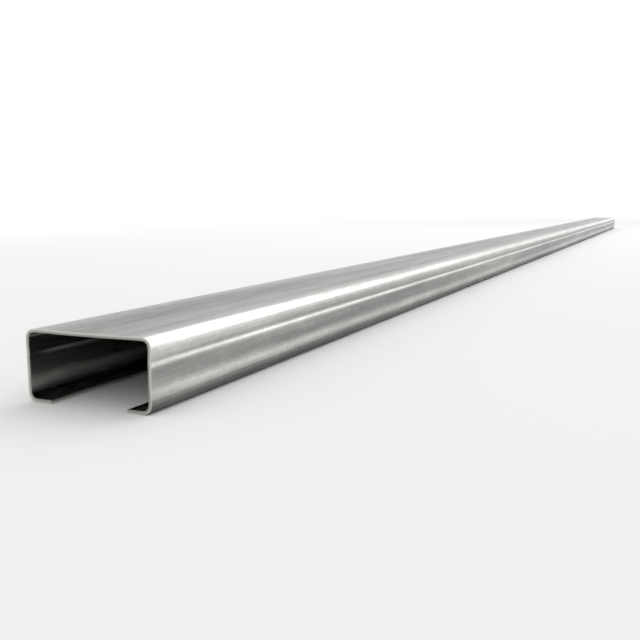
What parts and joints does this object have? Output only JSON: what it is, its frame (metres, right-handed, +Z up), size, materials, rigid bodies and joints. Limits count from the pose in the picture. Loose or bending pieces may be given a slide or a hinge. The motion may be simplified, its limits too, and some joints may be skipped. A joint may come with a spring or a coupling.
{
  "type": "c purlin",
  "caption": "Galvanised steel C purlin: a lipped channel cold roll-formed from one strip, web up on its two lips, with plain square-cut ends.",
  "frame": {"origin": "centre of the footprint, on the plane that the two lips rest on", "axes": "+X along the purlin's length, +Y across the web, +Z up from the lips to the web"},
  "size_m": [3, 0.08, 0.04],
  "materials": {
    "galvanised_steel": "hot-dip galvanised, minimised spangle, satin"
  },
  "bodies": {
    "root": {"c_purlin": "galvanised_steel"}
  },
  "joints": []
}
